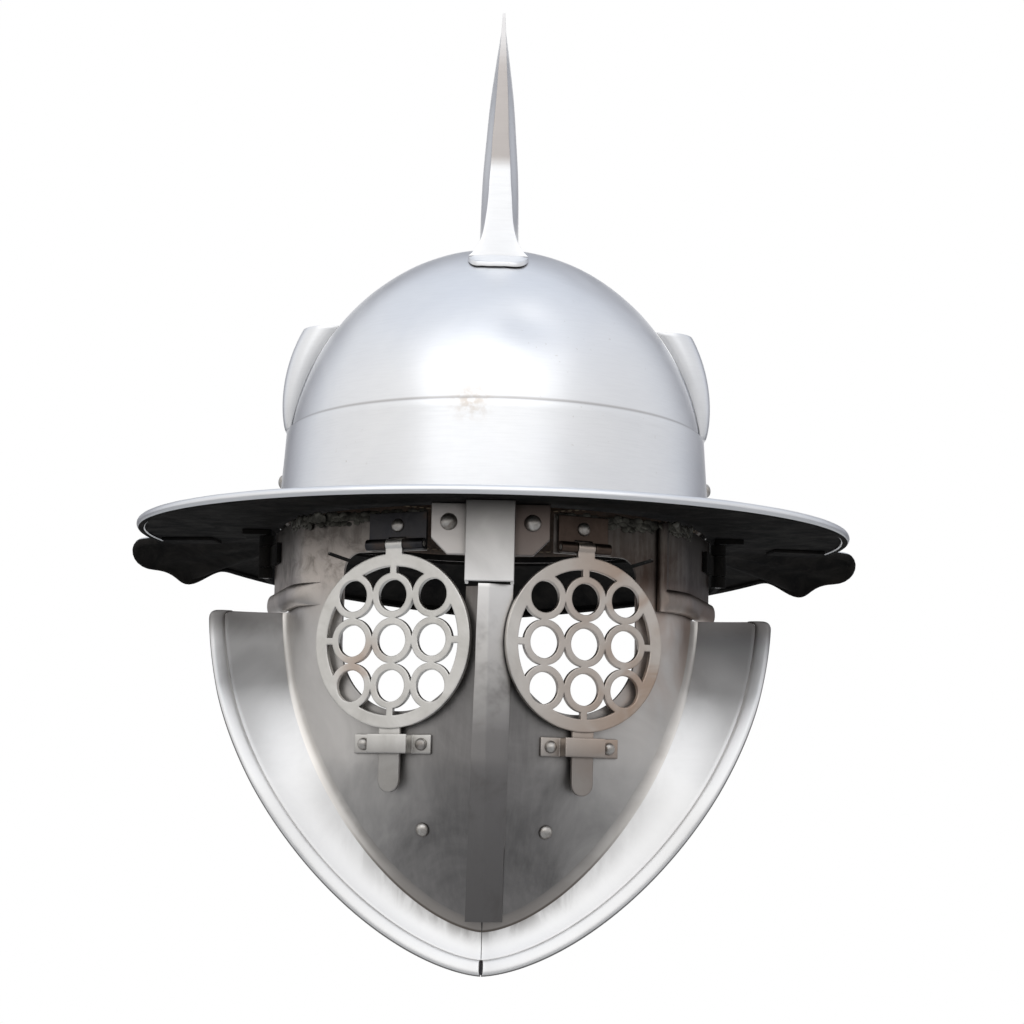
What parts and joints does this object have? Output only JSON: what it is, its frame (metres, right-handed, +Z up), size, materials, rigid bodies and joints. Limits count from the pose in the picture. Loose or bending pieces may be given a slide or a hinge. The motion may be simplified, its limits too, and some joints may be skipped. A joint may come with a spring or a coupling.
{
  "type": "visored gladiator helmet",
  "caption": "Steel helmet with a round bowl, narrow fin crest, flat brim and neck guard, and a hinged visor in halves with pierced round eye grilles and flared cheek edges.",
  "frame": {"origin": "middle of the bowl's base, on the top face of the brim", "axes": "+Z up towards the crest, -Y towards the visor, +X towards the viewer's right"},
  "size_m": [0.3678, 0.3228, 0.4425],
  "materials": {
    "polished": "polished, with fine brushing and soft dents",
    "brushed": "satin brushed, warm grey",
    "grille": "satin, worn on the edges",
    "dark_steel": "blued, with rust tints",
    "fastener": "dull, with brown tints",
    "leather": "plain brown"
  },
  "bodies": {
    "helmet": {"dome_cap": "polished", "bowl_band": "polished", "front_brim": "polished", "front_rim": "polished", "neck_guard": "polished", "brim_joint_straps": "dark_steel", "crest_side_right": "polished", "crest_side_left": "polished", "crest_front_strip": "polished", "crest_foot": "polished", "plume_holder_right": "polished", "plume_holder_left": "polished", "band_side_rivets": "fastener", "brow_plate": "dark_steel", "brow_bracket": "brushed", "bracket_rivets": "fastener", "side_hinge_bracket_right": "dark_steel", "side_hinge_bracket_left": "dark_steel", "side_hinge_pin_right": "dark_steel", "side_hinge_pin_left": "dark_steel", "liner_band": "leather", "liner_cap": "leather"},
    "visor_right": {"cheek_plate_right": "brushed", "cheek_flange_right": "polished", "flange_border_right": "polished", "temple_wall_right": "brushed", "side_hinge_leaf_right": "dark_steel", "centre_strip": "brushed", "grille_hinge_plate_right": "brushed", "grille_pin_right": "fastener", "hinge_rivet_right": "fastener", "keeper_right": "brushed", "keeper_rivets_right": "fastener", "cheek_stud_right": "fastener"},
    "visor_left": {"cheek_plate_left": "brushed", "cheek_flange_left": "polished", "flange_border_left": "polished", "temple_wall_left": "brushed", "side_hinge_leaf_left": "dark_steel", "grille_hinge_plate_left": "dark_steel", "grille_pin_left": "fastener", "hinge_rivet_left": "fastener", "keeper_left": "brushed", "keeper_rivets_left": "fastener", "cheek_stud_left": "fastener"},
    "grille_right": {"eye_grille_right": "grille"},
    "grille_left": {"eye_grille_left": "grille"}
  },
  "joints": [
    {"name": "visor_right_swing", "type": "hinge", "parent": "helmet", "child": "visor_right", "pos_m": [0.10669, -0.02717, -0.016], "axis": [0, 0, 1], "range_deg": [0, 75]},
    {"name": "visor_left_swing", "type": "hinge", "parent": "helmet", "child": "visor_left", "pos_m": [-0.10669, -0.02717, -0.016], "axis": [0, 0, 1], "range_deg": [-75, 0]},
    {"name": "grille_right_tilt", "type": "hinge", "parent": "visor_right", "child": "grille_right", "pos_m": [0.04077, -0.12034, -0.0195], "axis": [-0.8988, -0.4384, 0], "range_deg": [0, 0.7]},
    {"name": "grille_left_tilt", "type": "hinge", "parent": "visor_left", "child": "grille_left", "pos_m": [-0.04077, -0.12034, -0.0195], "axis": [-0.8988, 0.4384, 0], "range_deg": [0, 0.7]}
  ],
  "couplings": [
    {"joint": "visor_left_swing", "follows": "visor_right_swing", "ratio": -1}
  ]
}
